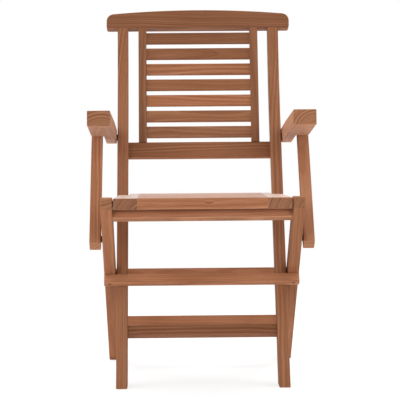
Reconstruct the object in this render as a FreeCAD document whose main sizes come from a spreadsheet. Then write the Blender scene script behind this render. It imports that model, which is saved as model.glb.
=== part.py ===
import FreeCAD
import Part
import Sketcher
import math
import os
import re

# Folding wooden armchair. X is the chair's left to right, -Y its front, +Z up, in millimetres.
# The long legs and the back make one frame, the short legs make the other, and the two cross on a bolt.
# The seat hangs on the tops of the short legs, and each arm is held by a long leg and a slanting support.

doc = FreeCAD.newDocument("FoldingArmchair")
sheet = doc.addObject("Spreadsheet::Sheet", "Sizes")

SIZES = [
    # Members and layers
    ("member_thick", 27.0),
    ("member_depth", 45.0),
    ("layer_gap", 2.5),
    ("support_gap", 4.0),
    ("leg_spread", 193.5),
    ("edge_round", 2.5),
    ("rail_round", 2.0),
    # Crossing and slopes, the leans in degrees from upright and the tilt from level
    ("cross_height", 252.4),
    ("long_lean", 29.0),
    ("short_lean", 48.6),
    ("seat_tilt", 2.2),
    # Upper bend of the long legs
    ("bend_start", 394.0),
    ("bend_radius", 1080.0),
    ("bend_angle", 14.5),
    # Top rail
    ("top_half_length", 235.5),
    ("top_height", 47.0),
    ("top_crown", 11.0),
    ("top_depth", 38.0),
    ("top_corner", 19.0),
    ("top_low_corner", 5.0),
    # Back panel
    ("low_rail_up", 345.4),
    ("low_rail_height", 41.8),
    ("low_rail_depth", 16.0),
    ("stile_width", 20.5),
    ("stile_inner", 133.0),
    ("stile_depth", 18.0),
    ("back_slat_width", 29.5),
    ("back_slat_thick", 10.0),
    ("slat_low_gap", 14.3),
    ("slat_high_gap", 12.9),
    # Rails between the long legs
    ("rest_rail_depth", 20.0),
    ("rest_rail_height", 34.0),
    ("rest_rail_back", 294.0),
    ("foot_rail_up", -149.2),
    ("foot_rail_height", 22.5),
    ("foot_rail_depth", 30.0),
    # Rails between the short legs
    ("front_rail_up", 254.4),
    ("front_rail_height", 15.0),
    ("front_rail_depth", 26.2),
    ("stop_height", 17.5),
    ("stop_depth", 24.0),
    ("stop_gap", 0.3),
    ("brace_up", -47.3),
    ("rear_rail_up", -216.0),
    ("rear_rail_height", 22.0),
    ("rear_rail_depth", 30.0),
    ("plug_radius", 4.2),
    ("plug_length", 6.0),
    # Seat
    ("seat_pivot", 289.3),
    ("seat_front", 20.6),
    ("seat_back", 318.0),
    ("seat_thick", 26.0),
    ("seat_outer", 207.0),
    ("seat_taper", 6.0),
    ("seat_shoulder", 208.0),
    ("seat_shoulder_run", 9.0),
    ("seat_neck", 176.0),
    ("seat_rail_inner", 151.0),
    ("seat_front_slat", 50.0),
    ("seat_slat_thick", 20.0),
    ("seat_slat_gap", 6.0),
    # Arms and supports
    ("arm_pivot", 376.5),
    ("arm_thick", 37.0),
    ("arm_pivot_low", 5.0),
    ("pin_reach", 100.8),
    ("pin_rise", 12.1),
    ("arm_back", 20.0),
    ("arm_front", 378.0),
    ("arm_notch", 152.0),
    ("arm_flare", 3.8),
    ("arm_front_outer", 267.0),
    ("arm_round", 3.0),
    ("support_pivot", 150.4),
    ("support_length", 323.5),
    ("support_depth", 32.0),
    ("support_foot", 20.0),
    ("support_head", 12.0),
    ("support_taper", 70.0),
    # Pivots
    ("bolt_radius", 4.0),
    ("pin_radius", 3.0),
    ("head_radius", 7.5),
    ("head_high", 0.9),
    ("washer_radius", 8.0),
    ("fixed_clear", 0.02),
    ("turn_clear", 0.05),
    ("washer_clear", 0.2),
    ("seat_bolt_depth", 40.0),
    ("arm_play", 4.3),
    ("arm_play_back", 3.6),
    ("arm_play_up", 1.7),
    ("arm_play_depth", 18.0),
    ("pin_depth", 14.0),
]

for row, (alias, value) in enumerate(SIZES, start=1):
    sheet.set("A%d" % row, alias)
    sheet.set("B%d" % row, str(value))
    sheet.setAlias("B%d" % row, alias)
doc.recompute()

BACK_SLATS = 7
SEAT_SLATS = 6
NO_RUN = 1e-3
SIDES = (("left", -1), ("right", 1))
nodes = []
size_name = re.compile(r"\b(%s)\b" % "|".join(alias for alias, _ in SIZES))


def size(expression):
    """Value of an expression in the sheet's names."""
    return float(sheet.evalExpression(expression))


def bound(expression):
    """The expression as another object writes it, with each name pointing at the sheet."""
    return size_name.sub(r"Sizes.\1", expression)


def new_body(label):
    body = doc.addObject("PartDesign::Body", label)
    body.Label = label
    return body


def new_sketch(body, role, offset=0.0):
    """Sketch on one of the body's own planes, moved along that plane's normal."""
    plane = [feature for feature in body.Origin.OriginFeatures if feature.Role == role][0]
    sketch = body.newObject("Sketcher::SketchObject", body.Label + "_sketch")
    sketch.AttachmentSupport = [(plane, "")]
    sketch.MapMode = "FlatFace"
    sketch.AttachmentOffset = FreeCAD.Placement(FreeCAD.Vector(0, 0, offset), FreeCAD.Rotation())
    return sketch


def bind(sketch, constraint, expression):
    index = sketch.addConstraint(constraint)
    sketch.setExpression("Constraints[%d]" % index, bound(expression))


def fix_point(sketch, geometry, end, across, along):
    """Fix a point at the given expressions from the sketch's origin."""
    if across == "0":
        sketch.addConstraint(Sketcher.Constraint("PointOnObject", geometry, end, -2))
    else:
        bind(sketch, Sketcher.Constraint("DistanceX", -1, 1, geometry, end, size(across)), across)
    if along == "0":
        sketch.addConstraint(Sketcher.Constraint("PointOnObject", geometry, end, -1))
    else:
        bind(sketch, Sketcher.Constraint("DistanceY", -1, 1, geometry, end, size(along)), along)


def draw_outline(sketch, corners, arcs=None):
    """Closed outline. arcs gives, by the corner it leaves, an arc's radius and the side it swells to."""
    arcs = arcs or {}
    points = [FreeCAD.Vector(size(across), size(along), 0) for across, along in corners]
    count = len(points)
    for index in range(count):
        start = points[index]
        end = points[(index + 1) % count]
        if index not in arcs:
            sketch.addGeometry(Part.LineSegment(start, end))
            continue
        radius, side = arcs[index]
        half = (end - start).Length / 2
        rise = size(radius) - math.sqrt(size(radius) ** 2 - half ** 2)
        left = FreeCAD.Vector(start.y - end.y, end.x - start.x, 0).normalize()
        sketch.addGeometry(Part.Arc(start, (start + end) / 2 + left * (side * rise), end))
    ends = []
    for index in range(count):
        starts_first = sketch.getPoint(index, 1).distanceToPoint(points[index]) < NO_RUN
        ends.append((1, 2) if starts_first else (2, 1))
    for index in range(count):
        after = (index + 1) % count
        joint = Sketcher.Constraint("Coincident", index, ends[index][1], after, ends[after][0])
        sketch.addConstraint(joint)
    for index, (across, along) in enumerate(corners):
        fix_point(sketch, index, ends[index][0], across, along)
    for index, (radius, _) in arcs.items():
        bind(sketch, Sketcher.Constraint("Radius", index, size(radius)), radius)


def pad(body, sketch, length):
    """Pad the sketch by the same amount to both sides of its plane."""
    feature = body.newObject("PartDesign::Pad", body.Label + "_pad")
    feature.Profile = sketch
    feature.SideType = "Symmetric"
    feature.setExpression("Length", bound(length))
    doc.recompute()
    return feature


def bore(body, circles):
    """Round holes along X, right through the body: each is across, along and radius."""
    before = body.Shape.Volume
    sketch = new_sketch(body, "YZ_Plane")
    for across, along, radius in circles:
        centre = FreeCAD.Vector(size(across), size(along), 0)
        index = sketch.addGeometry(Part.Circle(centre, FreeCAD.Vector(0, 0, 1), size(radius)))
        fix_point(sketch, index, 3, across, along)
        bind(sketch, Sketcher.Constraint("Radius", index, size(radius)), radius)
    feature = body.newObject("PartDesign::Pocket", body.Label + "_bore")
    feature.Profile = sketch
    feature.SideType = "Symmetric"
    feature.Type = "ThroughAll"
    doc.recompute()
    assert body.Shape.Volume < before, body.Label


def blind_bore(body, role, offset, circles, depth, reverse):
    """Round holes of one depth, from a plane at an offset along the role's normal."""
    before = body.Shape.Volume
    sketch = new_sketch(body, role, offset)
    for across, along, radius in circles:
        centre = FreeCAD.Vector(size(across), size(along), 0)
        index = sketch.addGeometry(Part.Circle(centre, FreeCAD.Vector(0, 0, 1), size(radius)))
        fix_point(sketch, index, 3, across, along)
        bind(sketch, Sketcher.Constraint("Radius", index, size(radius)), radius)
    feature = body.newObject("PartDesign::Pocket", body.Label + "_blind_bore")
    feature.Profile = sketch
    feature.Reversed = reverse
    feature.setExpression("Length", bound(depth))
    doc.recompute()
    assert body.Shape.Volume < before, body.Label


def round_edges(body, wanted, radius):
    """Round each edge of the body's tip for which wanted is true."""
    tip = body.Tip
    names = []
    for index, edge in enumerate(tip.Shape.Edges, start=1):
        if wanted(edge):
            names.append("Edge%d" % index)
    feature = body.newObject("PartDesign::Fillet", body.Label + "_round")
    feature.Base = (tip, names)
    feature.setExpression("Radius", bound(radius))
    doc.recompute()


def edge_run(edge):
    """Extent of an edge along X, Y and Z."""
    box = edge.BoundBox
    return box.XLength, box.YLength, box.ZLength


def along_x(edge):
    return edge_run(edge)[1] < NO_RUN and edge_run(edge)[2] < NO_RUN


def on_cheek(edge):
    """Edges of the two flat sides that face along X."""
    return edge_run(edge)[0] < NO_RUN


class Frame:
    """Upright working plane of a slanting member: an origin and a turn about X."""

    def __init__(self, angle, origin_y, origin_z):
        self.angle = angle
        self.origin = FreeCAD.Vector(0, origin_y, origin_z)
        self.rotation = FreeCAD.Rotation(FreeCAD.Vector(1, 0, 0), angle)

    def point(self, across, along, x=0.0):
        return self.origin + self.rotation.multVec(FreeCAD.Vector(x, across, along))

    def place(self, across=0.0, along=0.0, x=0.0):
        return FreeCAD.Placement(self.point(across, along, x), self.rotation)


def keep(part, placement):
    """Set a finished sub-part in its place and list it for writing."""
    part.Placement = placement
    nodes.append(part)
    return part


def bar(label, length, depth, height, placement, extra=None, rounding="rail_round"):
    """Straight rail along X with a rounded rectangular section."""
    body = new_body(label)
    sketch = new_sketch(body, "YZ_Plane")
    half_depth = "(%s)/2" % depth
    half_height = "(%s)/2" % height
    corners = [
        ("-" + half_depth, "-" + half_height),
        (half_depth, "-" + half_height),
        (half_depth, half_height),
        ("-" + half_depth, half_height),
    ]
    draw_outline(sketch, corners)
    pad(body, sketch, length)
    if extra:
        extra(body)
    round_edges(body, along_x, rounding)
    return keep(body, placement)


# Working frames of the members
pivot_reach = "seat_pivot*sin(short_lean) + seat_front*cos(seat_tilt)"
foot_reach = "(member_depth/2 + cross_height*sin(short_lean))/cos(short_lean)"
cross_y = size("(%s - (%s))/2" % (pivot_reach, foot_reach))
long_frame = Frame(-size("long_lean"), cross_y, size("cross_height"))
short_frame = Frame(size("short_lean"), cross_y, size("cross_height"))
seat_point = short_frame.point(0, size("seat_pivot"))
seat_frame = Frame(-size("seat_tilt"), seat_point.y, seat_point.z)
arm_point = long_frame.point(0, size("arm_pivot"))
support_point = short_frame.point(0, size("support_pivot"))

# The arm's pin lies at fixed distances from the arm's pivot and from the support's pivot
span = support_point - arm_point
arm_reach = size("sqrt(pin_reach^2 + pin_rise^2)")
share = (arm_reach**2 - size("support_length")**2 + span.Length**2)/(2*span.Length)
rise = math.sqrt(arm_reach**2 - share**2)
along_span = FreeCAD.Vector(span).normalize()
above_span = FreeCAD.Vector(0, along_span.z, -along_span.y)
pin_centre = arm_point + along_span*share + above_span*rise
arm_run = pin_centre - arm_point
support_run = pin_centre - support_point
pin_slope = math.degrees(math.atan2(size("pin_rise"), size("pin_reach")))
arm_slope = math.degrees(math.atan2(arm_run.z, -arm_run.y)) - pin_slope
support_lean = math.degrees(math.atan2(support_run.y, support_run.z))
arm_frame = Frame(-arm_slope, arm_point.y, arm_point.z)
support_frame = Frame(-support_lean, support_point.y, support_point.z)

layer = "(member_thick + layer_gap)"
long_x = size("leg_spread")
short_x = size("leg_spread + %s" % layer)
support_x = size("leg_spread + %s + support_gap + member_thick" % layer)
inside_long = "2*leg_spread - member_thick"
inside_short = "2*(leg_spread + layer_gap) + member_thick"

# Top of the long legs: the front edge ends here, and the top rail stands on it
half_depth = "member_depth/2"
tip_across = "(-member_depth/2 - bend_radius*(1 - cos(bend_angle)))"
tip_along = "(bend_start + bend_radius*sin(bend_angle))"
top_angle = size("bend_angle - long_lean")


def from_tip(inward, upward):
    """Point beside the leg's tip, measured square to the top rail."""
    across = "%s + (%s)*cos(bend_angle) - (%s)*sin(bend_angle)" % (tip_across, inward, upward)
    along = "%s + (%s)*sin(bend_angle) + (%s)*cos(bend_angle)" % (tip_along, inward, upward)
    return across, along


def tip_point(inward, upward):
    across, along = from_tip(inward, upward)
    return long_frame.point(size(across), size(along))


def long_leg(side, sign):
    """Straight leg that bends forward above the arm and ends under the top rail."""
    body = new_body("long_leg_" + side)
    sketch = new_sketch(body, "YZ_Plane")
    back_end = from_tip("top_depth", "0")
    shrink = "(%s - (%s))" % (half_depth, back_end[0])
    climb = "(%s - bend_start)" % back_end[1]
    back_radius = "(%s^2 + (%s)^2)/(2*%s)" % (shrink, climb, shrink)
    corners = [
        ("-" + half_depth, "(-member_depth/2*sin(long_lean) - cross_height)/cos(long_lean)"),
        (half_depth, "(member_depth/2*sin(long_lean) - cross_height)/cos(long_lean)"),
        (half_depth, "bend_start"),
        back_end,
        (tip_across, tip_along),
        ("-" + half_depth, "bend_start"),
    ]
    draw_outline(sketch, corners, {2: (back_radius, -1), 4: ("bend_radius", 1)})
    pad(body, sketch, "member_thick")
    top = size("%s - edge_round" % tip_along)

    def long_edge(edge):
        return on_cheek(edge) and edge.CenterOfMass.z < top

    round_edges(body, long_edge, "edge_round")
    fixed = "bolt_radius + fixed_clear"
    bore(body, [("0", "0", fixed), ("0", "arm_pivot", fixed)])
    return keep(body, long_frame.place(x=sign * long_x))


def top_rail():
    """Crowned rail with rounded ends."""
    body = new_body("top_rail")
    sketch = new_sketch(body, "XZ_Plane")
    end_height = "top_height - top_crown"
    crown_radius = "(top_half_length^2 + top_crown^2)/(2*top_crown)"
    corners = [
        ("-top_half_length", "0"),
        ("top_half_length", "0"),
        ("top_half_length", end_height),
        ("-top_half_length", end_height),
    ]
    draw_outline(sketch, corners, {2: (crown_radius, -1)})
    pad(body, sketch, "top_depth")
    middle = size("(top_height - top_crown)/2")

    def upper_corner(edge):
        run = edge_run(edge)
        return run[0] < NO_RUN and run[2] < NO_RUN and edge.CenterOfMass.z > middle

    def lower_corner(edge):
        run = edge_run(edge)
        return run[0] < NO_RUN and run[2] < NO_RUN and edge.CenterOfMass.z < middle

    round_edges(body, upper_corner, "top_corner")
    round_edges(body, lower_corner, "top_low_corner")

    def crown_edge(edge):
        return edge_run(edge)[1] < NO_RUN and edge.CenterOfMass.z > middle

    round_edges(body, crown_edge, "edge_round")
    seat_line = tip_point("top_depth/2", "0")
    return keep(body, FreeCAD.Placement(seat_line, FreeCAD.Rotation(FreeCAD.Vector(1, 0, 0), top_angle)))


# Back panel: a flat lattice from the low rail to the top rail
low_across = "(member_depth - low_rail_depth)/2"
low_top = "low_rail_up + low_rail_height/2"
panel_low = long_frame.point(size(low_across), size(low_top))
panel_high = tip_point("stile_depth/2", "0")
panel_rise = panel_high - panel_low
panel_frame = Frame(-math.degrees(math.atan2(panel_rise.y, panel_rise.z)), panel_low.y, panel_low.z)
panel_length = panel_rise.Length


def back_stile(side, sign):
    """Upright of the lattice, scribed to the low rail below and to the top rail above."""
    body = new_body("back_stile_" + side)
    sketch = new_sketch(body, "YZ_Plane")
    low_slant = "tan(%.9f)" % (panel_frame.angle + size("long_lean"))
    half = "stile_depth/2"
    high_slant = "tan(%.9f)" % (panel_frame.angle - top_angle)
    length = "%.9f" % panel_length
    corners = [
        ("-" + half, "stile_depth/2*" + low_slant),
        (half, "-stile_depth/2*" + low_slant),
        (half, "%s - stile_depth/2*%s" % (length, high_slant)),
        ("-" + half, "%s + stile_depth/2*%s" % (length, high_slant)),
    ]
    draw_outline(sketch, corners)
    pad(body, sketch, "stile_width")

    def long_edge(edge):
        run = edge_run(edge)
        return on_cheek(edge) and run[1] < NO_RUN and run[2] > panel_length/2

    round_edges(body, long_edge, "rail_round")
    return keep(body, panel_frame.place(x=sign*size("stile_inner + stile_width/2")))


def plate(label, corners, thickness):
    """Flat board drawn in plan."""
    body = new_body(label)
    sketch = new_sketch(body, "XY_Plane")
    draw_outline(sketch, corners)
    pad(body, sketch, thickness)
    return body


def short_leg(side, sign):
    """Straight leg with a level foot and a squared-off head level with the seat."""
    body = new_body("short_leg_" + side)
    sketch = new_sketch(body, "YZ_Plane")
    head = "(seat_pivot*cos(short_lean) + seat_thick/2 + seat_front*sin(seat_tilt))"
    reach = "(%s)" % pivot_reach
    front_low = "((-member_depth/2 + %s*cos(short_lean))/sin(short_lean))" % reach
    corners = [
        ("-" + half_depth, "member_depth/2*tan(short_lean) - cross_height/cos(short_lean)"),
        (half_depth, "-member_depth/2*tan(short_lean) - cross_height/cos(short_lean)"),
        (half_depth, "-member_depth/2*tan(short_lean) + %s/cos(short_lean)" % head),
        (
            "-%s*cos(short_lean) + %s*sin(short_lean)" % (reach, head),
            "%s*sin(short_lean) + %s*cos(short_lean)" % (reach, head),
        ),
        ("-" + half_depth, "%s*sin(short_lean) + %s*cos(short_lean)" % (reach, front_low)),
    ]
    draw_outline(sketch, corners)
    pad(body, sketch, "member_thick")
    round_edges(body, on_cheek, "edge_round")
    fixed = "bolt_radius + fixed_clear"
    turning = "bolt_radius + turn_clear"
    bore(body, [("0", "0", turning), ("0", "seat_pivot", fixed), ("0", "support_pivot", fixed)])
    return keep(body, short_frame.place(x=sign * short_x))


def seat_rail(side, sign):
    """Side of the seat: wide in front of the long legs, narrow where it passes between them."""
    x = "%d*" % sign
    corners = [
        (x + "seat_rail_inner", "-seat_front"),
        (x + "seat_outer", "-seat_front"),
        (x + "(seat_outer - seat_taper)", "seat_shoulder"),
        (x + "seat_neck", "seat_shoulder + seat_shoulder_run"),
        (x + "seat_neck", "seat_back"),
        (x + "seat_rail_inner", "seat_back"),
    ]
    body = plate("seat_rail_" + side, corners, "seat_thick")
    inner = size("seat_rail_inner + rail_round")

    def outer_edge(edge):
        return edge_run(edge)[2] < NO_RUN and abs(edge.CenterOfMass.x) > inner

    round_edges(body, outer_edge, "rail_round")
    hole = [("0", "0", "bolt_radius + turn_clear")]
    blind_bore(body, "YZ_Plane", sign*size("seat_outer"), hole, "seat_bolt_depth", sign < 0)
    return keep(body, seat_frame.place())


def seat_slat(label, start, width, thick):
    """Board across the seat, flush with the top of its sides."""
    drop = size("seat_thick/2 - (%s)/2" % thick)
    middle = size("%s + (%s)/2" % (start, width))
    placement = seat_frame.place(middle, drop)
    return bar(label, "2*seat_rail_inner", width, thick, placement)


def armrest(side, sign):
    """Arm with a broad flared hand end and a narrow rear half that the support folds beside."""
    x = "%d*" % sign
    inner = "(leg_spread + layer_gap + member_thick/2)"
    outer = "(leg_spread + layer_gap + 3*member_thick/2)"
    corners = [
        (x + inner, "arm_back"),
        (x + outer, "arm_back"),
        (x + outer, "-arm_notch"),
        (x + "(%s + support_gap + member_thick)" % outer, "-arm_notch"),
        (x + "arm_front_outer", "-arm_front"),
        (x + "(%s + arm_flare)" % inner, "-arm_front"),
        (x + inner, "-arm_notch"),
    ]
    body = plate("armrest_" + side, corners, "arm_thick")
    round_edges(body, lambda edge: edge_run(edge)[2] < NO_RUN, "arm_round")
    low = "-arm_pivot_low"
    bore(body, [("0", low, "bolt_radius + turn_clear")])
    play = [(
        "arm_play_back - pin_reach",
        "pin_rise - arm_pivot_low + arm_play_up",
        "pin_radius + arm_play",
    )]
    blind_bore(body, "YZ_Plane", sign*size(outer), play, "arm_play_depth", sign < 0)
    return keep(body, arm_frame.place(0, size("arm_pivot_low")))


def arm_support(side, sign):
    """Slanting strut, square at the foot and narrowed to a round head beside the arm."""
    body = new_body("arm_support_" + side)
    sketch = new_sketch(body, "YZ_Plane")
    half = "support_depth/2"
    corners = [
        ("-" + half, "-support_foot"),
        (half, "-support_foot"),
        (half, "support_length - support_taper"),
        ("support_head", "support_length"),
        ("-support_head", "support_length"),
        ("-" + half, "support_length - support_taper"),
    ]
    draw_outline(sketch, corners, {3: ("support_head + fixed_clear", -1)})
    pad(body, sketch, "member_thick")
    round_edges(body, on_cheek, "rail_round")
    bore(body, [
        ("0", "0", "bolt_radius + turn_clear"),
        ("0", "support_length", "pin_radius + fixed_clear"),
    ])
    return keep(body, support_frame.place(x=sign * support_x))


def turned(label, corners, arcs=None):
    """Round piece turned about X, drawn as its half section."""
    body = new_body(label)
    sketch = new_sketch(body, "XY_Plane")
    draw_outline(sketch, corners, arcs)
    feature = body.newObject("PartDesign::Revolution", label + "_turn")
    feature.Profile = sketch
    feature.ReferenceAxis = (sketch, ["H_Axis"])
    feature.Angle = 360.0
    doc.recompute()
    return body


def bolt(label, inner, outer, radius, heads):
    """Pivot bolt from inner to outer along X, with a domed head on each end that heads names."""
    dome = "(head_radius^2 + head_high^2)/(2*head_high)"
    corners = []
    arcs = {}
    if "inner" in heads:
        corners.append(("%s - head_high" % inner, "0"))
        arcs[0] = (dome, 1)
        corners.append((inner, "head_radius"))
    else:
        corners.append((inner, "0"))
    corners.append((inner, radius))
    corners.append((outer, radius))
    if "outer" in heads:
        arcs[len(corners)] = (dome, 1)
        corners.append((outer, "head_radius"))
        corners.append(("%s + head_high" % outer, "0"))
    else:
        corners.append((outer, "0"))
    return turned(label, corners, arcs)


def washer(label, start, gap):
    """Flat spacer that fills the gap between two layers."""
    near = "%s + washer_clear" % start
    far = "%s + %s - washer_clear" % (start, gap)
    hole = "bolt_radius + turn_clear"
    corners = [(near, hole), (far, hole), (far, "washer_radius"), (near, "washer_radius")]
    return turned(label, corners)


def facing(sign, centre):
    """Placement of a piece drawn for the chair's right side, on either side."""
    turn = FreeCAD.Rotation(FreeCAD.Vector(0, 0, 1), 0 if sign > 0 else 180)
    return FreeCAD.Placement(FreeCAD.Vector(0, centre.y, centre.z), turn)


def pair(label, make):
    """One node with the same fitting on both sides; make draws it for a given name."""
    fittings = []
    for side, sign in SIDES:
        fitting = make("%s_%s" % (label, side))
        fitting.Placement = facing(sign, pair_centres[label])
        fittings.append(fitting)
    node = doc.addObject("Part::Compound", label)
    node.Label = label
    node.Links = fittings
    doc.recompute()
    nodes.append(node)


# Frame of long legs
for side, sign in SIDES:
    long_leg(side, sign)
top_rail()
bar(
    "back_low_rail", inside_long, "low_rail_depth", "low_rail_height",
    long_frame.place(size(low_across), size("low_rail_up")),
)
for side, sign in SIDES:
    back_stile(side, sign)
first_slat = size("slat_low_gap + back_slat_width/2")
last_slat = panel_length - size("slat_high_gap + back_slat_width/2")
for index in range(BACK_SLATS):
    middle = first_slat + (last_slat - first_slat)*index/(BACK_SLATS - 1)
    bar(
        "back_slat_%d" % (BACK_SLATS - index), "2*stile_inner", "back_slat_thick", "back_slat_width",
        panel_frame.place(0, middle),
    )
rest_drop = size("-seat_thick/2 - stop_gap - rest_rail_height/2")
bar(
    "seat_rest_rail", inside_long, "rest_rail_depth", "rest_rail_height",
    seat_frame.place(size("rest_rail_back"), rest_drop),
)
bar(
    "foot_rail", inside_long, "foot_rail_depth", "foot_rail_height",
    long_frame.place(0, size("foot_rail_up")),
)

# Frame of short legs
for side, sign in SIDES:
    short_leg(side, sign)
seat_angle = "(short_lean + seat_tilt)"
rail_fall = "(seat_pivot - front_rail_up - front_rail_height/2)"
rail_top = "(%s*cos(%s) - seat_thick/2 - stop_gap)/sin(%s)" % (rail_fall, seat_angle, seat_angle)
bar(
    "front_rail", inside_short, "front_rail_depth", "front_rail_height",
    short_frame.place(size("%s - front_rail_depth/2" % rail_top), size("front_rail_up")),
)
open_angle = "(long_lean + short_lean)"
stop_low = "((member_depth/2 + stop_gap - member_depth/2*cos(%s))/sin(%s))" % (open_angle, open_angle)
stop_length = "2*(leg_spread + layer_gap) + 3*member_thick"
stop_across = size("(member_depth + stop_depth)/2")


def plug_holes(body):
    """Holes for the plugs over the screws that hold the stop rail to the legs."""
    holes = []
    for _, sign in SIDES:
        holes.append(("%d*(leg_spread + %s)" % (sign, layer), "0", "plug_radius + fixed_clear"))
    blind_bore(body, "XZ_Plane", size("stop_depth/2"), holes, "plug_length", False)


bar(
    "stop_rail", stop_length, "stop_depth", "stop_height",
    short_frame.place(-stop_across, size("%s + stop_height/2" % stop_low)), plug_holes,
)
bar(
    "brace_rail", stop_length, "stop_depth", "stop_height",
    short_frame.place(stop_across, size("brace_up")),
)
bar(
    "rear_rail", inside_short, "rear_rail_depth", "rear_rail_height",
    short_frame.place(0, size("rear_rail_up")),
)

# Seat
for side, sign in SIDES:
    seat_rail(side, sign)
seat_slat("seat_front_slat", "-seat_front", "seat_front_slat", "seat_thick")
slat_run = "(seat_back + seat_front - seat_front_slat)/%d" % SEAT_SLATS
for index in range(SEAT_SLATS):
    start = "-seat_front + seat_front_slat + %d*%s + seat_slat_gap" % (index, slat_run)
    seat_slat("seat_slat_%d" % (index + 1), start, "%s - seat_slat_gap" % slat_run, "seat_slat_thick")

# Arms and their supports
for side, sign in SIDES:
    armrest(side, sign)
for side, sign in SIDES:
    arm_support(side, sign)

# Pivots
pair_centres = {
    "cross_bolts": long_frame.origin,
    "cross_washers": long_frame.origin,
    "arm_bolts": arm_frame.origin,
    "arm_washers": arm_frame.origin,
    "seat_bolts": seat_frame.origin,
    "seat_washers": seat_frame.origin,
    "support_bolts": support_frame.origin,
    "support_washers": support_frame.origin,
}
face_inner = "leg_spread - member_thick/2"
face_long = "leg_spread + member_thick/2"
face_short = "leg_spread + layer_gap + 3*member_thick/2"
face_support = "leg_spread + layer_gap + support_gap + 5*member_thick/2"
pair("cross_bolts", lambda label: bolt(label, face_inner, face_short, "bolt_radius", ("inner", "outer")))
pair("cross_washers", lambda label: washer(label, face_long, "layer_gap"))
arm_end = face_short + " - washer_clear"
pair("arm_bolts", lambda label: bolt(label, face_inner, arm_end, "bolt_radius", ("inner",)))
pair("arm_washers", lambda label: washer(label, face_long, "layer_gap"))
seat_end = "seat_outer - seat_bolt_depth + pin_radius"
pair("seat_bolts", lambda label: bolt(label, seat_end, face_short, "bolt_radius", ("outer",)))
pair("seat_washers", lambda label: washer(label, face_long, "layer_gap"))
short_inner = face_long + " + layer_gap + washer_clear"
pair("support_bolts", lambda label: bolt(label, short_inner, face_support, "bolt_radius", ("outer",)))
pair("support_washers", lambda label: washer(label, face_short, "support_gap"))
for side, sign in SIDES:
    pin = bolt("support_pin_" + side, face_short + " - pin_depth", face_support, "pin_radius", ("outer",))
    keep(pin, facing(sign, pin_centre))

# Plugs over the screws of the stop rail
plugs = []
for side, sign in SIDES:
    plug = doc.addObject("Part::Cylinder", "stop_plug_" + side)
    plug.setExpression("Radius", bound("plug_radius"))
    plug.setExpression("Height", bound("plug_length - fixed_clear"))
    face = short_frame.point(
        -size("member_depth/2 + stop_depth"), size("%s + stop_height/2" % stop_low), sign*short_x
    )
    inward = short_frame.rotation.multVec(FreeCAD.Vector(0, 1, 0))
    plug.Placement = FreeCAD.Placement(face, FreeCAD.Rotation(FreeCAD.Vector(0, 0, 1), inward))
    plugs.append(plug)
plug_node = doc.addObject("Part::Compound", "stop_plugs")
plug_node.Label = "stop_plugs"
plug_node.Links = plugs
nodes.append(plug_node)

doc.recompute()
failed = [item.Label for item in doc.Objects if "Invalid" in item.State or "Error" in item.State]
assert not failed, failed
os.makedirs("parts", exist_ok=True)
for node in nodes:
    assert not node.Shape.isNull() and node.Shape.isValid(), node.Label
    node.Shape.exportStep("parts/%s.step" % node.Label)
print(len(nodes), "nodes")
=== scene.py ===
import math

import bpy
from mathutils import Matrix, Vector


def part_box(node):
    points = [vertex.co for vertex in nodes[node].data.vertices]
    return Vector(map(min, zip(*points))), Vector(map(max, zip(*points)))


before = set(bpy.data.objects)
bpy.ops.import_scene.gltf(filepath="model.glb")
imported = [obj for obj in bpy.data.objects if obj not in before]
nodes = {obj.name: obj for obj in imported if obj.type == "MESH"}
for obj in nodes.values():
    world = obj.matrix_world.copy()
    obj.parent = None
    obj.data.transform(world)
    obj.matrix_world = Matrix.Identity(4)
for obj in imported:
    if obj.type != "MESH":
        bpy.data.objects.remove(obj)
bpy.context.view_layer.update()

# Camera, in front of the chair and a little above the arms. Its lens and sensor are in millimetres.
CAMERA_DISTANCE = 4.238
CAMERA_HEIGHT = 0.7516
CAMERA_ASIDE = -0.0015
CAMERA_PITCH = math.radians(85.683)
CAMERA_YAW = math.radians(-1.0)
CAMERA_ROLL = math.radians(-0.39)
CAMERA_LENS = 155.0
SENSOR_WIDTH = 36.0

# Soft lamps: the place, the point that the lamp faces, its width, and its power in watts
LAMPS = {
    "key_light": ((-1.5, -3.5, 1.25), (0.0, 0.0, 0.5), 1.0, 38.0),
    "fill_light": ((1.5, -3.5, 1.25), (0.0, 0.0, 0.5), 1.0, 34.0),
    "left_light": ((-1.9, 0.6, 2.7), (0.0, 0.2, 0.0), 1.8, 82.0),
    "right_light": ((1.9, 0.6, 2.7), (0.0, 0.2, 0.0), 1.8, 82.0),
    "back_light": ((0.0, 2.2, 2.4), (0.0, 0.5, 0.0), 2.0, 25.0),
}
# Strength of the even light from all round
AMBIENT = 0.28
WHITE = (1.0, 1.0, 1.0, 1.0)

# Floor: half its width, its paint, the distances between which the paint gives way to plain white,
# and the share of white under the chair
FLOOR_HALF = 6.0
FLOOR_PAINT = (0.95, 0.95, 0.95, 1.0)
FLOOR_WHITENING = (0.8, 2.4)
FLOOR_WHITE_NEAR = 0.8

# Leans of the boards from upright towards the back, in degrees. Every other wooden piece lies along X.
GRAIN_LEANS = {
    "long_leg": 29.0,
    "back_stile": 17.2,
    "short_leg": -48.6,
    "seat_rail": 92.2,
    "armrest": 98.3,
    "arm_support": 37.6,
}
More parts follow.
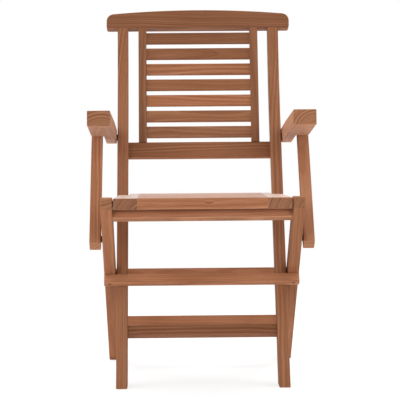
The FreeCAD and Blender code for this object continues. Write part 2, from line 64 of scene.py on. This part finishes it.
# How light or dark each board is beside plain teak
TONES = {
    "top_rail": 0.75,
    "back_slat_1": 0.72,
    "back_slat_2": 0.81,
    "back_slat_3": 1.10,
    "back_slat_4": 0.93,
    "back_slat_5": 1.25,
    "back_slat_6": 1.00,
    "back_slat_7": 0.94,
    "back_low_rail": 0.82,
    "back_stile_left": 0.75,
    "back_stile_right": 0.82,
    "long_leg_left": 0.91,
    "long_leg_right": 0.93,
    "short_leg_left": 1.03,
    "short_leg_right": 0.92,
    "arm_support_left": 1.00,
    "arm_support_right": 0.91,
    "armrest_left": 1.10,
    "armrest_right": 1.24,
    # The front rail is made lighter to paint light onto its upper face, which lies in the seat's
    # shade; the painted shade on its faces that look down darkens its lower face back
    "front_rail": 1.42,
    "stop_rail": 1.27,
    "brace_rail": 1.20,
    "rear_rail": 0.86,
    "foot_rail": 0.69,
    "seat_rest_rail": 0.96,
    "seat_rail_left": 1.02,
    "seat_rail_right": 1.15,
    "seat_front_slat": 1.12,
    "seat_slat_1": 1.15,
    "seat_slat_2": 1.20,
    "seat_slat_3": 1.11,
    "seat_slat_4": 1.17,
    "seat_slat_5": 1.19,
    "seat_slat_6": 1.12,
    "stop_plugs": 0.58,
}
# How far the paler boards have faded
FADES = {
    "back_slat_6": 0.05,
    "back_slat_7": 0.08,
    "back_stile": 0.03,
    "long_leg": 0.03,
    "armrest": 0.16,
    "front_rail": 0.12,
    "stop_rail": 0.06,
    "brace_rail": 0.08,
    "seat_rail": 0.26,
    "seat_slat": 0.12,
}
# How light or dark the end grain is beside the rest of its board
END_TONES = {
    "arm_support": 1.36,
    "seat_rail": 0.84,
}
# Painted light and shade on the faces that look down, as a tone beside the rest of their board: above
# 1 they are painted lighter, as if lit from the floor below, and the front rail's lower face is
# painted darker
UNDERSIDE_PAINTED_LIGHT_AND_SHADE = {
    "armrest": 1.10,
    "top_rail": 1.18,
    "back_low_rail": 1.36,
    "foot_rail": 1.30,
    "front_rail": 0.66,
}
# How strong the dry bloom is on the boards that are touched most, and how wide it spreads.
# It shows at flat angles only.
SHEENS = {
    "armrest": 0.07,
    "seat_rail": 0.42,
    "seat_slat": 0.16,
    "seat_front_slat": 0.16,
}
SHEEN_SPREAD = 0.30
# How strongly the oiled wood mirrors
WOOD_SPECULAR = 0.08

# Spans of the normal's direction over which a face turns to end grain, stops looking down, which ends
# its painted light and shade, and stops being a worn edge
END_SPAN = (0.55, 0.85)
DOWN_SPAN = (-0.60, -0.20)
EDGE_SPAN = (0.80, 0.99)
# How far worn edges reach in, and how many samples find them
EDGE_REACH = 0.003
EDGE_SAMPLES = 6

# Places of the boards in their log. Steps of the golden ratio spread them evenly along it and round
# its pith, whose distance from a board's middle is the nearest one and a part of the spread.
GOLDEN_RATIO = 0.618034
LOG_LENGTH = 3.0
PITH_NEAREST = 0.035
PITH_SPREAD = 0.070
# Greatest skew of the grain in degrees, and how often it swings about the board's two cross directions
# from place to place in one turn round the pith
GRAIN_SKEW = 1.5
SKEW_WAVES_X = 3
SKEW_WAVES_Y = 5
# Places of the pith in a board's two cross directions from its middle, where it matters for the figure
PITHS = {
    "front_rail": (0.210, 0.240),
    "armrest_left": (0.004, 0.046),
    "armrest_right": (0.032, 0.044),
    "seat_rail_left": (0.060, 0.055),
    "seat_rail_right": (0.075, 0.045),
}
# How much longer the figure of the grain runs in some boards
GRAIN_STRETCHES = {
    "seat_rail": 4.0,
}

# Places of small knots, upwards and along the board from its middle. NO_KNOT lies beyond every board.
KNOTS = {
    "seat_front_slat": (0.007, 0.0145),
}
NO_KNOT = (0.0, -50.0)
# Half the height and half the length of a knot, and how far it bends the rings
KNOT_HEIGHT = 0.0045
KNOT_LENGTH = 0.009
KNOT_BEND = 0.003
# How much the dark rim of a knot shows, and how much of that is left where the streaks are dark
KNOT_RIM = 0.60
KNOT_RIM_FAINT = 0.50
# Spans, in half sizes of the knot, over which the bend runs out, the rim runs out to both sides
# and the rim runs out upwards
KNOT_BEND_SPAN = (0.2, 2.0)
KNOT_RIM_SPAN = (0.10, 0.50)
KNOT_LOWER_SPAN = (-0.60, 0.20)

# Cells of noise per metre in teak, in a board's two cross directions and along it. Those of the rings
# are counted from the pith outwards.
WANDER_CELLS = (9.0, 9.0, 3.0)
STREAK_CELLS = (420.0, 420.0, 7.0)
PATCH_CELLS = (16.0, 16.0, 5.0)
PORE_CELLS = (1500.0, 1500.0, 45.0)
RING_CELLS = 240.0
# Cells of noise per metre in brass and in the spacers
TARNISH_CELLS = (300.0, 300.0, 300.0)
GRIT_CELLS = (900.0, 900.0, 900.0)
# How far the grain wanders in a board's two cross directions and along it
WANDER = (0.020, 0.020, 0.0)
# Spans of noise values that are drawn out
RING_SPAN = (0.28, 0.72)
PORE_SPAN = (0.60, 0.72)
NARROW_SPAN = (0.40, 0.60)
MIDDLE_SPAN = (0.30, 0.70)
WIDE_SPAN = (0.25, 0.75)

# Shares of the rings, streaks and patches in how pale long grain is, and how much the pores show
RING_SHARE = 0.40
STREAK_SHARE = 0.45
PATCH_SHARE = 0.35
PORE_SHARE = 0.20
# sRGB colours of long grain and end grain from dark to pale wood
LONG_GRAIN = (
    (0.20, (118, 71, 47)),
    (0.50, (143, 93, 64)),
    (0.65, (151, 100, 70)),
    (0.95, (170, 120, 89)),
)
END_GRAIN = (
    (0.00, (116, 74, 51)),
    (0.45, (141, 96, 69)),
    (1.00, (152, 107, 80)),
)
# sRGB colours of pores and knots, of rubbed edges and of faded wood
PORE_COLOUR = (88, 51, 32)
RUBBED_COLOUR = (178, 130, 97)
FADED_COLOUR = (185, 155, 130)
# Least and most rubbing of the edges, and least and most of a board's fading from patch to patch
RUBBING = (0.10, 0.45)
FADING = (0.70, 1.30)

# Roughness of teak from streak to streak, and how far end grain, rubbed edges and the seat differ
TEAK_ROUGHNESS = (0.52, 0.66)
END_ROUGHER = 0.15
RUB_SMOOTHER = 0.25
SEAT_POLISH = 0.235
# Relief of the grain: its depth, the heights of streaks and pores in it, and its strength on the seat
# and on the other boards
RELIEF_DEPTH = 0.0004
STREAK_RELIEF = 0.6
PORE_RELIEF = -1.0
SEAT_RELIEF = 0.02
BOARD_RELIEF = 0.25

# sRGB colours and roughness of brass, from tarnished to bright, and of the spacers, from dark to pale
BRASS = (
    (0.30, (112, 84, 48)),
    (0.70, (164, 130, 80)),
)
BRASS_ROUGHNESS = (0.45, 0.28)
SPACER = (
    (0.30, (40, 30, 26)),
    (0.70, (62, 48, 40)),
)
SPACER_ROUGHNESS = (0.45, 0.65)

# The mix node has sockets for each kind of data. These are the indices of those for colours.
MIX_FACTOR = 0
MIX_FIRST = 6
MIX_SECOND = 7
MIX_RESULT = 2


def linear(red, green, blue):
    """Scene-linear colour of an sRGB colour given in 0 to 255."""
    def channel(value):
        value = value / 255
        return value / 12.92 if value <= 0.04045 else ((value + 0.055) / 1.055) ** 2.4
    return channel(red), channel(green), channel(blue), 1.0


def by_kind(name, table, otherwise):
    """Value of the table's entry that the piece's name starts with."""
    for start, value in table.items():
        if name.startswith(start):
            return value
    return otherwise


def add_object(name, data):
    """New object in the scene."""
    item = bpy.data.objects.new(name, data)
    bpy.context.scene.collection.objects.link(item)
    return item


def empty_tree(owner):
    """Cleared node tree of a material or a world."""
    owner.use_nodes = True
    owner.node_tree.nodes.clear()
    return owner.node_tree


def connect(tree, value, socket):
    """Link an output to the socket, or set the socket to a plain value."""
    if isinstance(value, bpy.types.NodeSocket):
        tree.links.new(value, socket)
    else:
        socket.default_value = value


def add_node(tree, kind, inputs, **settings):
    """New node with its settings and its inputs, which are given by name or by index."""
    node = tree.nodes.new(kind)
    for name, value in settings.items():
        setattr(node, name, value)
    for name, value in inputs.items():
        connect(tree, value, node.inputs[name])
    return node


def calc(tree, operation, *values):
    """Output of a math node with the given inputs."""
    node = add_node(tree, "ShaderNodeMath", dict(enumerate(values)), operation=operation)
    return node.outputs["Value"]


def vector_calc(tree, operation, *values, output="Vector"):
    """Output of a vector math node with the given inputs."""
    node = add_node(tree, "ShaderNodeVectorMath", dict(enumerate(values)), operation=operation)
    return node.outputs[output]


def noise(tree, vector, cells, detail=2.0, roughness=0.5):
    """Soft noise, with its number of cells per metre along each axis."""
    scaled = vector_calc(tree, "MULTIPLY", vector, cells)
    inputs = {"Vector": scaled, "Scale": 1.0, "Detail": detail, "Roughness": roughness}
    return add_node(tree, "ShaderNodeTexNoise", inputs)


def remap(tree, value, span, low=0.0, high=1.0):
    """Smooth step from low to high while the value runs through the span."""
    inputs = {"Value": value, "From Min": span[0], "From Max": span[1], "To Min": low, "To Max": high}
    node = add_node(tree, "ShaderNodeMapRange", inputs, interpolation_type="SMOOTHSTEP")
    return node.outputs["Result"]


def ramp(tree, value, stops):
    """Colour ramp with the given positions and sRGB colours."""
    node = add_node(tree, "ShaderNodeValToRGB", {"Fac": value})
    elements = node.color_ramp.elements
    while len(elements) < len(stops):
        elements.new(0.5)
    for element, (position, colour) in zip(elements, stops):
        element.position = position
        element.color = linear(*colour)
    return node.outputs["Color"]


def mix_colour(tree, factor, first, second):
    """First colour at a factor of 0, and second colour at a factor of 1."""
    inputs = {MIX_FACTOR: factor, MIX_FIRST: first, MIX_SECOND: second}
    return add_node(tree, "ShaderNodeMix", inputs, data_type="RGBA").outputs[MIX_RESULT]


def knot_figure(tree, grain, knot):
    """How far the knot bends the rings, and how much its lower rim shows."""
    offset = vector_calc(tree, "SUBTRACT", grain, knot)
    offset = vector_calc(tree, "MULTIPLY", offset, (0.0, 1.0 / KNOT_HEIGHT, 1.0 / KNOT_LENGTH))
    distance = vector_calc(tree, "LENGTH", offset, output="Value")
    bend = remap(tree, distance, KNOT_BEND_SPAN, KNOT_BEND, 0.0)
    above = add_node(tree, "ShaderNodeSeparateXYZ", {"Vector": offset}).outputs["Y"]
    off_rim = calc(tree, "ABSOLUTE", calc(tree, "SUBTRACT", distance, 1.0))
    rim = remap(tree, off_rim, KNOT_RIM_SPAN, KNOT_RIM, 0.0)
    rim = calc(tree, "MULTIPLY", rim, remap(tree, above, KNOT_LOWER_SPAN, 1.0, 0.0))
    return bend, rim


def ring_figure(tree, grain, pith, bend):
    """Growth rings round the pith, which wander a little and bend round a knot."""
    wander = noise(tree, grain, WANDER_CELLS).outputs["Color"]
    wander = vector_calc(tree, "SUBTRACT", wander, (0.5, 0.5, 0.5))
    wander = vector_calc(tree, "MULTIPLY", wander, WANDER)
    from_pith = vector_calc(tree, "SUBTRACT", vector_calc(tree, "ADD", grain, wander), pith)
    from_pith = vector_calc(tree, "MULTIPLY", from_pith, (1.0, 1.0, 0.0))
    distance = vector_calc(tree, "LENGTH", from_pith, output="Value")
    cells = calc(tree, "MULTIPLY", calc(tree, "ADD", distance, bend), RING_CELLS)
    inputs = {"W": cells, "Scale": 1.0, "Detail": 3.0, "Roughness": 0.6}
    rings = add_node(tree, "ShaderNodeTexNoise", inputs, noise_dimensions="1D").outputs["Fac"]
    return remap(tree, rings, RING_SPAN)


def teak_group():
    """Oiled teak in a board's own coordinates, where Z runs along the grain."""
    tree = bpy.data.node_groups.new("teak_wood", "ShaderNodeTree")
    for name in ("Grain", "Pith", "Knot"):
        tree.interface.new_socket(name, in_out="INPUT", socket_type="NodeSocketVector")
    # The last of these float inputs paints light and shade onto the faces that look down
    for name in ("End", "Down", "Edge", "Fade", "Tone", "End Tone", "Underside Painted Light And Shade"):
        tree.interface.new_socket(name, in_out="INPUT", socket_type="NodeSocketFloat")
    for name, kind in (("Color", "Color"), ("Roughness", "Float"), ("Height", "Float")):
        tree.interface.new_socket(name, in_out="OUTPUT", socket_type="NodeSocket" + kind)
    given = tree.nodes.new("NodeGroupInput").outputs
    grain = given["Grain"]

    bend, rim = knot_figure(tree, grain, given["Knot"])
    rings = ring_figure(tree, grain, given["Pith"], bend)
    streaks = noise(tree, grain, STREAK_CELLS, detail=3.0, roughness=0.6).outputs["Fac"]
    patches = noise(tree, grain, PATCH_CELLS, detail=1.0).outputs["Fac"]
    pores = noise(tree, grain, PORE_CELLS, detail=1.0).outputs["Fac"]
    pores = remap(tree, pores, PORE_SPAN)
    rim = calc(tree, "MULTIPLY", rim, remap(tree, streaks, NARROW_SPAN, KNOT_RIM_FAINT))
    rub = calc(tree, "MULTIPLY", given["Edge"], remap(tree, patches, NARROW_SPAN, *RUBBING))
    fade = calc(tree, "MULTIPLY", given["Fade"], remap(tree, patches, MIDDLE_SPAN, *FADING))
    fade = calc(tree, "MULTIPLY", fade, calc(tree, "SUBTRACT", 1.0, given["End"]))

    pale = calc(tree, "MULTIPLY", rings, RING_SHARE)
    pale = calc(tree, "MULTIPLY_ADD", streaks, STREAK_SHARE, pale)
    pale = calc(tree, "MULTIPLY_ADD", patches, PATCH_SHARE, pale)
    colour = mix_colour(tree, given["End"], ramp(tree, pale, LONG_GRAIN), ramp(tree, rings, END_GRAIN))
    layers = (
        (calc(tree, "MULTIPLY", pores, PORE_SHARE), PORE_COLOUR),
        (rim, PORE_COLOUR),
        (rub, RUBBED_COLOUR),
        (fade, FADED_COLOUR),
    )
    for share, layer in layers:
        colour = mix_colour(tree, share, colour, linear(*layer))
    # End grain takes its own tone, and faces that look down get painted light and shade
    tone = given["Tone"]
    for place, own_tone in (("End", "End Tone"), ("Down", "Underside Painted Light And Shade")):
        change = calc(tree, "MULTIPLY", given[place], calc(tree, "SUBTRACT", given[own_tone], 1.0))
        tone = calc(tree, "MULTIPLY", tone, calc(tree, "ADD", change, 1.0))
    scaling = {"Vector": colour, "Scale": tone}
    toned = add_node(tree, "ShaderNodeVectorMath", scaling, operation="SCALE")

    roughness = remap(tree, streaks, WIDE_SPAN, *TEAK_ROUGHNESS)
    roughness = calc(tree, "MULTIPLY_ADD", given["End"], END_ROUGHER, roughness)
    roughness = calc(tree, "MULTIPLY_ADD", rub, -RUB_SMOOTHER, roughness)
    height = calc(tree, "MULTIPLY", pores, PORE_RELIEF)
    height = calc(tree, "MULTIPLY_ADD", streaks, STREAK_RELIEF, height)
    results = {"Color": toned.outputs["Vector"], "Roughness": roughness, "Height": height}
    add_node(tree, "NodeGroupOutput", results)
    return tree


def new_material(name):
    """New material with its tree, its shader and its object coordinates."""
    material = bpy.data.materials.new(name)
    tree = empty_tree(material)
    shader = tree.nodes.new("ShaderNodeBsdfPrincipled")
    add_node(tree, "ShaderNodeOutputMaterial", {"Surface": shader.outputs["BSDF"]})
    return material, tree, shader, tree.nodes.new("ShaderNodeTexCoord").outputs


def grain_axes(name):
    """Rows are the board's two cross directions and its grain direction."""
    lean = by_kind(name, GRAIN_LEANS, None)
    if lean is None:
        return Matrix(((0, 1, 0), (0, 0, 1), (1, 0, 0)))
    sine = math.sin(math.radians(lean))
    cosine = math.cos(math.radians(lean))
    return Matrix(((1, 0, 0), (0, cosine, -sine), (0, sine, cosine)))


def board_grain(tree, place, name, axes, turn, in_log):
    """Coordinates of a board, with its middle at its place in the log and its grain a little askew."""
    low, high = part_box(name)
    skew = Matrix.Rotation(math.radians(GRAIN_SKEW * math.cos(SKEW_WAVES_X * turn)), 3, "X")
    skew = skew @ Matrix.Rotation(math.radians(GRAIN_SKEW * math.sin(SKEW_WAVES_Y * turn)), 3, "Y")
    turned = skew @ axes
    shift = in_log - turned @ ((low + high) / 2)
    inputs = {"Vector": place, "Location": shift, "Rotation": turned.to_euler()}
    mapping = add_node(tree, "ShaderNodeMapping", inputs)
    stretch = by_kind(name, GRAIN_STRETCHES, 1.0)
    return vector_calc(tree, "MULTIPLY", mapping.outputs["Vector"], (1.0, 1.0, 1.0 / stretch))


def board_faces(tree, normal, along):
    """Where a board shows end grain, faces that look down, which get painted light and shade, and worn
    edges.
    """
    facing = vector_calc(tree, "DOT_PRODUCT", normal, along, output="Value")
    up = add_node(tree, "ShaderNodeSeparateXYZ", {"Vector": normal}).outputs["Z"]
    bevel = add_node(tree, "ShaderNodeBevel", {"Radius": EDGE_REACH}, samples=EDGE_SAMPLES)
    sharp = tree.nodes.new("ShaderNodeNewGeometry").outputs["Normal"]
    flatness = vector_calc(tree, "DOT_PRODUCT", bevel.outputs["Normal"], sharp, output="Value")
    return {
        "End": remap(tree, calc(tree, "ABSOLUTE", facing), END_SPAN),
        # Faces that look down, which get painted light and shade
        "Down": remap(tree, up, DOWN_SPAN, 1.0, 0.0),
        "Edge": remap(tree, flatness, EDGE_SPAN, 1.0, 0.0),
    }


def teak(name, index, group):
    """Teak for one board, cut from its own place in the log."""
    material, tree, shader, coords = new_material("teak_" + name)
    draw = (index * GOLDEN_RATIO) % 1.0
    turn = 2 * math.pi * draw
    in_log = Vector((0.0, 0.0, LOG_LENGTH * draw))
    reach = PITH_NEAREST + PITH_SPREAD * ((index * GOLDEN_RATIO * GOLDEN_RATIO) % 1.0)
    pith = PITHS.get(name, (reach * math.cos(turn), reach * math.sin(turn)))
    axes = grain_axes(name)
    inputs = {
        "Grain": board_grain(tree, coords["Object"], name, axes, turn, in_log),
        "Pith": (*pith, 0.0),
        "Knot": in_log + Vector((0.0, *KNOTS.get(name, NO_KNOT))),
        "Fade": by_kind(name, FADES, 0.0),
        "Tone": TONES[name],
        "End Tone": by_kind(name, END_TONES, 1.0),
        # Painted light and shade for the faces that look down
        "Underside Painted Light And Shade": by_kind(name, UNDERSIDE_PAINTED_LIGHT_AND_SHADE, 1.0),
    }
    inputs.update(board_faces(tree, coords["Normal"], axes[2]))
    wood = add_node(tree, "ShaderNodeGroup", inputs, node_tree=group).outputs
    roughness = wood["Roughness"]
    relief = BOARD_RELIEF
    if name.startswith("seat_") and name != "seat_rest_rail":
        roughness = calc(tree, "SUBTRACT", roughness, SEAT_POLISH)
        relief = SEAT_RELIEF
    surface = {"Strength": relief, "Distance": RELIEF_DEPTH, "Height": wood["Height"]}
    bump = add_node(tree, "ShaderNodeBump", surface)
    connect(tree, wood["Color"], shader.inputs["Base Color"])
    connect(tree, roughness, shader.inputs["Roughness"])
    connect(tree, bump.outputs["Normal"], shader.inputs["Normal"])
    shader.inputs["Specular IOR Level"].default_value = WOOD_SPECULAR
    shader.inputs["Sheen Weight"].default_value = by_kind(name, SHEENS, 0.0)
    shader.inputs["Sheen Roughness"].default_value = SHEEN_SPREAD
    return material


def brass():
    """Dull yellow metal with uneven tarnish."""
    material, tree, shader, coords = new_material("pivot_brass")
    tarnish = noise(tree, coords["Object"], TARNISH_CELLS, detail=4.0, roughness=0.6).outputs["Fac"]
    connect(tree, ramp(tree, tarnish, BRASS), shader.inputs["Base Color"])
    connect(tree, remap(tree, tarnish, MIDDLE_SPAN, *BRASS_ROUGHNESS), shader.inputs["Roughness"])
    shader.inputs["Metallic"].default_value = 1.0
    return material


def spacer():
    """Dark moulded spacer with a fine matte surface."""
    material, tree, shader, coords = new_material("dark_spacer")
    grit = noise(tree, coords["Object"], GRIT_CELLS, detail=3.0).outputs["Fac"]
    connect(tree, ramp(tree, grit, SPACER), shader.inputs["Base Color"])
    connect(tree, remap(tree, grit, MIDDLE_SPAN, *SPACER_ROUGHNESS), shader.inputs["Roughness"])
    return material


def finish_nodes():
    """Give each piece of the frame its finish."""
    group = teak_group()
    metal = brass()
    dark = spacer()
    for index, name in enumerate(sorted(nodes)):
        if "bolts" in name or "support_pin" in name:
            material = metal
        elif "washers" in name:
            material = dark
        else:
            material = teak(name, index, group)
        for slot in nodes[name].material_slots:
            slot.material = material


def seen_factor(tree):
    """1 for what is seen directly, in gloss or through glass, and 0 for light that falls on things."""
    path = tree.nodes.new("ShaderNodeLightPath").outputs
    seen = calc(tree, "MAXIMUM", path["Is Camera Ray"], path["Is Glossy Ray"])
    return calc(tree, "MAXIMUM", seen, path["Is Transmission Ray"])


def make_floor():
    """Pale floor that fades into the white background and keeps the chair's shadow."""
    mesh = bpy.data.meshes.new("floor")
    corners = [(-1, -1), (1, -1), (1, 1), (-1, 1)]
    mesh.from_pydata([(x * FLOOR_HALF, y * FLOOR_HALF, 0) for x, y in corners], [], [(0, 1, 2, 3)])
    floor = add_object("floor", mesh)
    material = bpy.data.materials.new("floor_white")
    tree = empty_tree(material)
    paint = add_node(tree, "ShaderNodeBsdfDiffuse", {"Color": FLOOR_PAINT}).outputs["BSDF"]
    glow = add_node(tree, "ShaderNodeEmission", {"Color": WHITE, "Strength": 1.0}).outputs["Emission"]
    place = tree.nodes.new("ShaderNodeTexCoord").outputs["Object"]
    distance = vector_calc(tree, "LENGTH", place, output="Value")
    whitening = remap(tree, distance, FLOOR_WHITENING, FLOOR_WHITE_NEAR, 1.0)
    share = calc(tree, "MULTIPLY", seen_factor(tree), whitening)
    blend = add_node(tree, "ShaderNodeMixShader", {0: share, 1: paint, 2: glow})
    add_node(tree, "ShaderNodeOutputMaterial", {"Surface": blend.outputs["Shader"]})
    mesh.materials.append(material)


def make_world():
    """White all round where it is seen, and a plain even light on the chair."""
    world = bpy.data.worlds.new("studio")
    bpy.context.scene.world = world
    tree = empty_tree(world)
    strength = calc(tree, "MULTIPLY_ADD", seen_factor(tree), 1.0 - AMBIENT, AMBIENT)
    light = add_node(tree, "ShaderNodeBackground", {"Color": WHITE, "Strength": strength})
    add_node(tree, "ShaderNodeOutputWorld", {"Surface": light.outputs["Background"]})


def softbox(name, place, target, width, power):
    """Square studio light turned towards a point."""
    data = bpy.data.lights.new(name, "AREA")
    data.size = width
    data.energy = power
    lamp = add_object(name, data)
    lamp.location = place
    lamp.rotation_euler = (Vector(target) - Vector(place)).to_track_quat("-Z", "Y").to_euler()


def make_camera():
    """Long lens from the front."""
    data = bpy.data.cameras.new("camera")
    data.lens = CAMERA_LENS
    data.sensor_width = SENSOR_WIDTH
    camera = add_object("camera", data)
    orbit = Matrix.Rotation(CAMERA_YAW, 3, "Z")
    aim = orbit @ Matrix.Rotation(CAMERA_PITCH, 3, "X") @ Matrix.Rotation(CAMERA_ROLL, 3, "Z")
    camera.location = orbit @ Vector((CAMERA_ASIDE, -CAMERA_DISTANCE, CAMERA_HEIGHT))
    camera.rotation_euler = aim.to_euler()
    bpy.context.scene.camera = camera


finish_nodes()
make_floor()
make_world()
for lamp_name, settings in LAMPS.items():
    softbox(lamp_name, *settings)
make_camera()
bpy.context.scene.view_settings.view_transform = "Standard"
